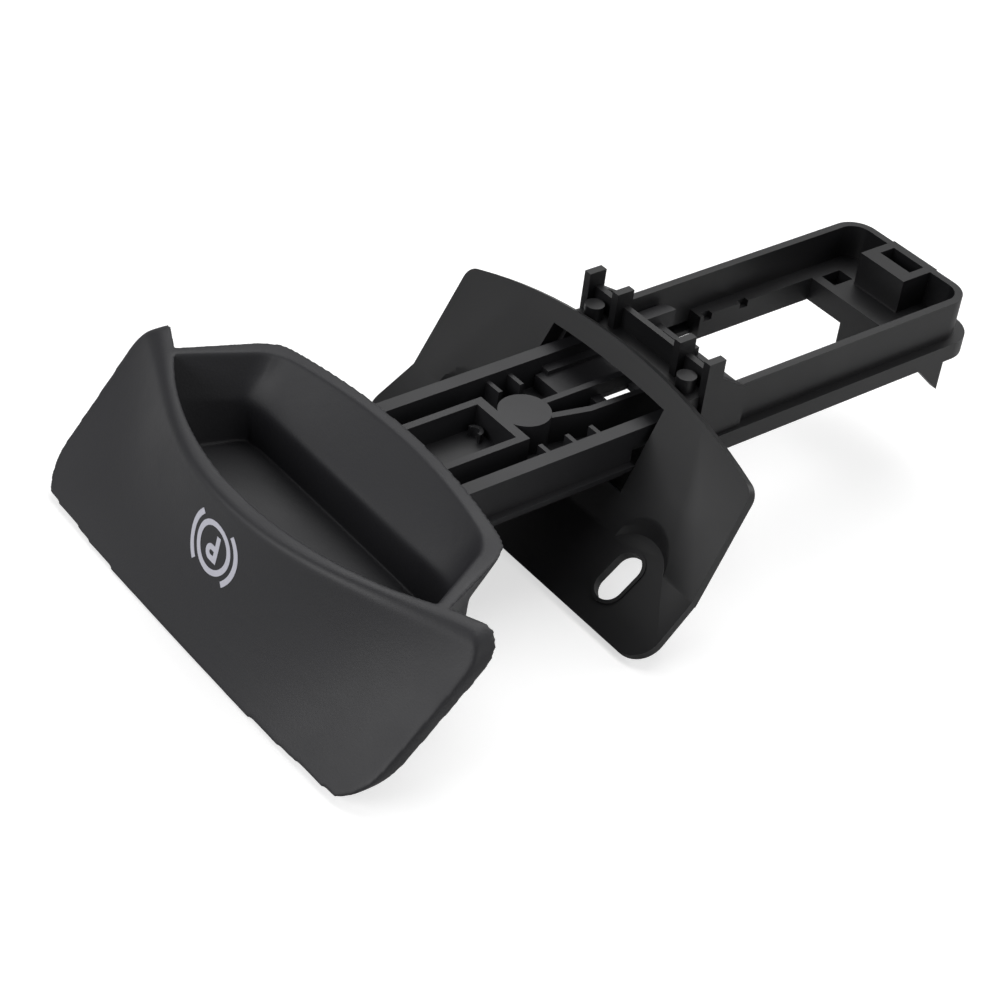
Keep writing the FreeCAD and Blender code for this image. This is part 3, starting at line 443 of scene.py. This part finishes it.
def softened_grip(mesh_size):
    """The grip's moulding with the rounded edges that its grained tool gives it."""
    piece = merged_copy(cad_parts["grip"], "grip_solid")
    points = sharp_points(piece.data, EDGE_STEP)
    remesh = piece.modifiers.new("Even mesh", "REMESH")
    remesh.mode = "SHARP"
    remesh.octree_depth = MESH_DEPTH
    remesh.scale = (GRIP_HIGH.x - GRIP_LOW.x) / (2 ** MESH_DEPTH * mesh_size)
    remesh.use_remove_disconnected = False
    remesh.use_smooth_shade = True
    piece = baked(piece, "grip_even")
    true_edges(piece.data, points, mesh_size * EDGE_PULL)
    round_cup_corners(piece.data)
    general = piece.modifiers.new("All edges", "SMOOTH")
    general.factor = 0.5
    general.iterations = EDGE_PASSES
    soften(piece, "Face edges", face_share, FACE_PASSES)
    soften(piece, "Cup bend", bend_share, BEND_PASSES)
    fewer = piece.modifiers.new("Fewer faces", "DECIMATE")
    fewer.ratio = KEPT_FACES
    return baked(piece, "grip_moulding")


class HANDLE_OT_grip(bpy.types.Operator):
    """Give the grip its softened edges and its grained matte black plastic"""

    bl_idname = "handle.grip"
    bl_label = "Grip"

    def execute(self, context):
        look = context.scene.handle_finish
        piece = softened_grip(look.soft_mesh)
        piece.data.materials.clear()
        piece.data.materials.append(moulded_plastic(
            "Grained grip plastic", look.grip_colour, look.grip_roughness,
            look.grain_size, 0.03 * MM, 0.22))
        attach(piece, "handle")
        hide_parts("grip")
        return {"FINISHED"}


class HANDLE_OT_slider(bpy.types.Operator):
    """Give the slider its satin black plastic"""

    bl_idname = "handle.slider"
    bl_label = "Slider"

    def execute(self, context):
        look = context.scene.handle_finish
        plastic = moulded_plastic("Satin slider plastic", look.slider_colour,
                                  look.satin_roughness + 0.06, look.grain_size * 0.8,
                                  0.008 * MM, 0.12)
        dress_node("slider", plastic, look.edge_round * 0.7, shared_tree())
        return {"FINISHED"}


def runner_shelf(rounding):
    """Two thin webs behind the panel, under the slider's runners."""
    mesh = bmesh.new()
    for side in (-1, 1):
        for vertex in bmesh.ops.create_cube(mesh, size=1)["verts"]:
            x, y, z = [middle + size * part for middle, size, part
                       in zip(WEB_MIDDLE, WEB_SIZE, vertex.co)]
            vertex.co = Vector((side * x, y, z)) * MM
    bmesh.ops.recalc_face_normals(mesh, faces=mesh.faces)
    piece = finished_mesh("runner_shelf", mesh)
    bevel = piece.modifiers.new("Moulded edges", "BEVEL")
    bevel.width = rounding * 0.6
    bevel.segments = 2
    return piece


class HANDLE_OT_bracket(bpy.types.Operator):
    """Give the guide bracket its satin black plastic"""

    bl_idname = "handle.bracket"
    bl_label = "Guide bracket"

    def execute(self, context):
        look = context.scene.handle_finish
        plastic = moulded_plastic("Satin bracket plastic", look.bracket_colour,
                                  look.satin_roughness, look.grain_size * 0.8,
                                  0.006 * MM, 0.12)
        dress_node("guide_bracket", plastic, look.edge_round, shared_tree())
        shelf = runner_shelf(look.edge_round)
        shelf.data.materials.append(plastic)
        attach(shelf, "bracket")
        return {"FINISHED"}


def bridge(mesh, rows):
    """Quads between each pair of points and the next."""
    for (a, b), (c, d) in zip(rows, rows[1:]):
        mesh.faces.new((a, b, d, c))


def ring_sector(mesh, inner, outer, start, end, steps, middle=Vector()):
    """A flat arc between two radii, as a strip of quads."""
    rows = []
    for step in range(steps + 1):
        angle = start + (end - start) * step / steps
        way = Vector((math.cos(angle), 0, math.sin(angle)))
        rows.append((mesh.verts.new(middle + way * inner),
                     mesh.verts.new(middle + way * outer)))
    bridge(mesh, rows)


def letter_strip(mesh, points, cuts):
    """A straight bar given by its four corners, cut across for bending."""
    a, b, c, d = [Vector((x, 0, z)) for x, z in points]
    rows = [(mesh.verts.new(a.lerp(d, i / cuts)), mesh.verts.new(b.lerp(c, i / cuts)))
            for i in range(cuts + 1)]
    bridge(mesh, rows)


def draw_letter(mesh, height, line):
    """A plain letter P: an upright bar, and a bowl of two bars and a half ring."""
    low, high = -height / 2, height / 2
    left = -height * 0.3
    bowl = height * 0.29
    reach = height * 0.06
    letter_strip(mesh, [(left, low), (left + line, low),
                        (left + line, high), (left, high)], 8)
    for top in (high, high - bowl * 2 + line):
        letter_strip(mesh, [(left + line, top - line), (left + line, top),
                            (reach, top), (reach, top - line)], 3)
    ring_sector(mesh, bowl - line, bowl, math.pi / 2, -math.pi / 2, 16,
                Vector((reach, 0, high - bowl)))


def wrap_tree():
    """A tree that lays a flat mark on the grip's face and gives it a thickness."""
    tree = bpy.data.node_groups.new("Printed Mark", "GeometryNodeTree")
    face = tree.interface
    face.new_socket("Geometry", in_out="INPUT", socket_type="NodeSocketGeometry")
    face.new_socket("Surface", in_out="INPUT", socket_type="NodeSocketObject")
    face.new_socket("Thickness", in_out="INPUT", socket_type="NodeSocketFloat")
    face.new_socket("Print", in_out="INPUT", socket_type="NodeSocketMaterial")
    face.new_socket("Geometry", in_out="OUTPUT", socket_type="NodeSocketGeometry")
    make = NodeMaker(tree)
    start = make.add("NodeGroupInput")
    end = make.add("NodeGroupOutput")
    surface = make.add("GeometryNodeObjectInfo", transform_space="RELATIVE")
    make.link(start.outputs["Surface"], surface.inputs["Object"])
    hit = make.add("GeometryNodeRaycast", [("Ray Direction", (0, 1, 0)), ("Ray Length", 1)])
    make.link(surface.outputs["Geometry"], hit.inputs["Target Geometry"])
    put = make.add("GeometryNodeSetPosition")
    make.link(start.outputs["Geometry"], put.inputs["Geometry"])
    lift = make.add("ShaderNodeVectorMath", operation="SCALE")
    make.link(hit.outputs["Hit Normal"], lift.inputs["Vector"])
    small = make.add("ShaderNodeMath", [(1, 0.5)], operation="MULTIPLY")
    make.link(start.outputs["Thickness"], small.inputs[0])
    make.link(small.outputs[0], lift.inputs["Scale"])
    spot = make.add("ShaderNodeVectorMath", operation="ADD")
    make.link(hit.outputs["Hit Position"], spot.inputs[0])
    make.link(lift.outputs["Vector"], spot.inputs[1])
    make.link(spot.outputs["Vector"], put.inputs["Position"])
    thick = make.add("GeometryNodeExtrudeMesh", [("Individual", False)])
    make.link(put.outputs["Geometry"], thick.inputs["Mesh"])
    make.link(start.outputs["Thickness"], thick.inputs["Offset Scale"])
    join = make.add("GeometryNodeJoinGeometry")
    back = make.add("GeometryNodeFlipFaces")
    make.link(put.outputs["Geometry"], back.inputs["Mesh"])
    make.link(back.outputs["Mesh"], join.inputs["Geometry"])
    make.link(thick.outputs["Mesh"], join.inputs["Geometry"])
    merge = make.add("GeometryNodeMergeByDistance", [("Distance", 0.0005 * MM)])
    make.link(join.outputs["Geometry"], merge.inputs["Geometry"])
    real = make.add("GeometryNodeRealizeInstances")
    make.link(merge.outputs["Geometry"], real.inputs["Geometry"])
    paint = make.add("GeometryNodeSetMaterial")
    make.link(real.outputs["Geometry"], paint.inputs["Geometry"])
    make.link(start.outputs["Print"], paint.inputs["Material"])
    make.link(paint.outputs["Geometry"], end.inputs["Geometry"])
    return tree


def set_input(modifier, name, value):
    """Set a tree's named input on its modifier by the socket's identifier."""
    for item in modifier.node_group.interface.items_tree:
        if item.in_out == "INPUT" and item.name == name:
            modifier[item.identifier] = value
            return
    raise ValueError(name + " is no input of " + modifier.node_group.name)


class HANDLE_OT_mark(bpy.types.Operator):
    """Print the parking brake symbol on the grip's face"""

    bl_idname = "handle.mark"
    bl_label = "Printed mark"

    def execute(self, context):
        mark = context.scene.handle_mark
        mesh = bmesh.new()
        ring, line = mark.ring_radius, mark.line
        ring_sector(mesh, ring - line, ring, 0, math.tau, 72)
        for middle in (0, math.pi):
            ring_sector(mesh, mark.arc_radius - line, mark.arc_radius,
                        middle - mark.arc_half, middle + mark.arc_half, 28)
        draw_letter(mesh, mark.letter_height, line)
        bmesh.ops.remove_doubles(mesh, verts=mesh.verts, dist=0.001 * MM)
        # The symbol stands on its head, because the handle lies upside down here.
        turn = Matrix.Rotation(math.pi, 4, "Y")
        bmesh.ops.transform(mesh, matrix=turn, verts=mesh.verts)
        shift = Vector((0, GRIP_LOW.y - PRINT_AHEAD, mark.height))
        bmesh.ops.translate(mesh, vec=shift, verts=mesh.verts)
        bmesh.ops.recalc_face_normals(mesh, faces=mesh.faces)
        for face in mesh.faces:
            if face.normal.y > 0:
                face.normal_flip()
        piece = finished_mesh("flat_mark", mesh)
        wrap = piece.modifiers.new("Print", "NODES")
        wrap.node_group = wrap_tree()
        set_input(wrap, "Surface", bpy.data.objects["grip_moulding"])
        set_input(wrap, "Thickness", PRINT_THICKNESS)
        set_input(wrap, "Print", printed_paint("Pale print", mark.colour))
        piece = baked(piece, "brake_symbol")
        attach(piece, "handle")
        return {"FINISHED"}


def floor_profile():
    """Floor heights along Y: level in front, then down to the ears' low edge."""
    touch_front = Vector((0, GRIP_LOW.y, GRIP_LOW.z))
    touch_back = Vector((0, EAR_TOUCH, BRACKET_LOW.z))
    slope = (touch_back.z - touch_front.z) / (touch_back.y - touch_front.y)
    low = touch_front.z + slope * (FLOOR_LOW - touch_front.y)
    return [(FLOOR_FRONT, touch_front.z), (touch_front.y - FLOOR_LEVEL, touch_front.z),
            (touch_front.y, touch_front.z), (FLOOR_LOW, low), (FLOOR_END, low)]


def pale_floor(name, colour):
    """Diffuse floor that the camera sees as white outside the shadows."""
    material, make = new_material(name)
    output = make.add("ShaderNodeOutputMaterial")
    diffuse = make.add("ShaderNodeBsdfDiffuse", [("Color", shade(colour, 1))])
    glow = make.add("ShaderNodeEmission")
    spot = make.add("ShaderNodeTexCoord")
    reach = make.add("ShaderNodeVectorMath", operation="LENGTH")
    make.link(spot.outputs["Object"], reach.inputs[0])
    fade = make.add("ShaderNodeMapRange", FLOOR_GLOW)
    make.link(reach.outputs["Value"], fade.inputs["Value"])
    make.link(fade.outputs[0], glow.inputs["Strength"])
    path = make.add("ShaderNodeLightPath")
    seen = make.add("ShaderNodeMath", operation="MAXIMUM")
    make.link(path.outputs["Is Camera Ray"], seen.inputs[0])
    make.link(path.outputs["Is Transmission Ray"], seen.inputs[1])
    both = make.add("ShaderNodeAddShader")
    make.link(diffuse.outputs[0], both.inputs[0])
    make.link(glow.outputs[0], both.inputs[1])
    blend = make.add("ShaderNodeMixShader")
    make.link(seen.outputs[0], blend.inputs["Fac"])
    make.link(diffuse.outputs[0], blend.inputs[1])
    make.link(both.outputs[0], blend.inputs[2])
    make.link(blend.outputs[0], output.inputs["Surface"])
    return material


def make_floor(colour):
    """A wide floor that follows the profile."""
    mesh = bmesh.new()
    bridge(mesh, [(mesh.verts.new((-FLOOR_END, y, z)), mesh.verts.new((FLOOR_END, y, z)))
                  for y, z in floor_profile()])
    floor = finished_mesh("floor", mesh)
    floor.data.materials.append(pale_floor("Pale floor", colour))


def softbox(name, place, aim, size, power):
    """A square lamp that faces a point."""
    lamp = bpy.data.lights.new(name, "AREA")
    lamp.shape = "RECTANGLE"
    lamp.size, lamp.size_y = size
    lamp.energy = power
    made = placed(name, lamp)
    made.location = place
    made.rotation_euler = (Vector(aim) - Vector(place)).to_track_quat("-Z", "Y").to_euler()


def white_world():
    """Even pale surroundings, white where the camera sees them."""
    world = bpy.data.worlds.new("Pale room")
    world.use_nodes = True
    make = NodeMaker(world.node_tree)
    output = make.add("ShaderNodeOutputWorld")
    white = (1, 1, 1, 1)
    light = make.add("ShaderNodeBackground", [("Strength", ROOM_LIGHT), ("Color", white)])
    seen = make.add("ShaderNodeBackground", [("Strength", 1), ("Color", white)])
    path = make.add("ShaderNodeLightPath")
    blend = make.add("ShaderNodeMixShader")
    make.link(path.outputs["Is Camera Ray"], blend.inputs["Fac"])
    make.link(light.outputs[0], blend.inputs[1])
    make.link(seen.outputs[0], blend.inputs[2])
    make.link(blend.outputs[0], output.inputs["Surface"])
    bpy.context.scene.world = world


def make_camera(stage):
    """The camera at its place, turned and rolled as the stage's settings say."""
    lens = bpy.data.cameras.new("Camera")
    lens.sensor_width = 36
    lens.lens = stage.lens
    lens.clip_start = 0.01
    camera = placed("Camera", lens)
    turn, rise = stage.azimuth, stage.elevation
    ahead = Vector((-math.sin(turn) * math.cos(rise), math.cos(turn) * math.cos(rise),
                    -math.sin(rise)))
    level = Vector((math.cos(turn), math.sin(turn), 0))
    up = level.cross(ahead)
    right = level * math.cos(stage.roll) + up * math.sin(stage.roll)
    up = right.cross(ahead)
    axes = Matrix((right, up, -ahead)).transposed()
    camera.matrix_world = Matrix.Translation(stage.camera_place) @ axes.to_4x4()
    bpy.context.scene.camera = camera


class HANDLE_OT_stage(bpy.types.Operator):
    """Set up the floor, the lamps and the camera"""

    bl_idname = "handle.stage"
    bl_label = "Stage"

    def execute(self, context):
        stage = context.scene.handle_stage
        make_camera(stage)
        make_floor(stage.floor_colour)
        white_world()
        middle = (GRIP_LOW + BRACKET_HIGH) / 2
        for name, place, size, power in LAMPS:
            softbox(name, place, middle, size, power)
        context.scene.view_settings.view_transform = "Standard"
        return {"FINISHED"}


class HANDLE_PT_sidebar(bpy.types.Panel):
    """Sizes, colours and pieces of the release handle"""

    bl_idname = "HANDLE_PT_sidebar"
    bl_label = "Release handle"
    bl_space_type = "VIEW_3D"
    bl_region_type = "UI"
    bl_category = "Handle"

    def draw(self, context):
        layout = self.layout
        for group in ("handle_finish", "handle_mark", "handle_stage"):
            settings = getattr(context.scene, group)
            box = layout.box()
            for name in settings.__annotations__:
                box.prop(settings, name)
        for operator in OPERATORS:
            layout.operator(operator.bl_idname)


OPERATORS = (HANDLE_OT_stage, HANDLE_OT_grip, HANDLE_OT_slider, HANDLE_OT_bracket,
             HANDLE_OT_mark)
GROUPS = (HandleFinish, HandleMark, HandleStage)
CLASSES = (*GROUPS, *OPERATORS, HANDLE_PT_sidebar)


def register():
    for item in CLASSES:
        bpy.utils.register_class(item)
    bpy.types.Scene.handle_finish = bpy.props.PointerProperty(type=HandleFinish)
    bpy.types.Scene.handle_mark = bpy.props.PointerProperty(type=HandleMark)
    bpy.types.Scene.handle_stage = bpy.props.PointerProperty(type=HandleStage)


def unregister():
    del bpy.types.Scene.handle_stage
    del bpy.types.Scene.handle_mark
    del bpy.types.Scene.handle_finish
    for item in reversed(CLASSES):
        bpy.utils.unregister_class(item)


def main():
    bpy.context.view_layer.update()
    register()
    bpy.ops.handle.stage()
    bpy.ops.handle.grip()
    bpy.ops.handle.slider()
    bpy.ops.handle.bracket()
    bpy.ops.handle.mark()


if __name__ == "__main__":
    main()
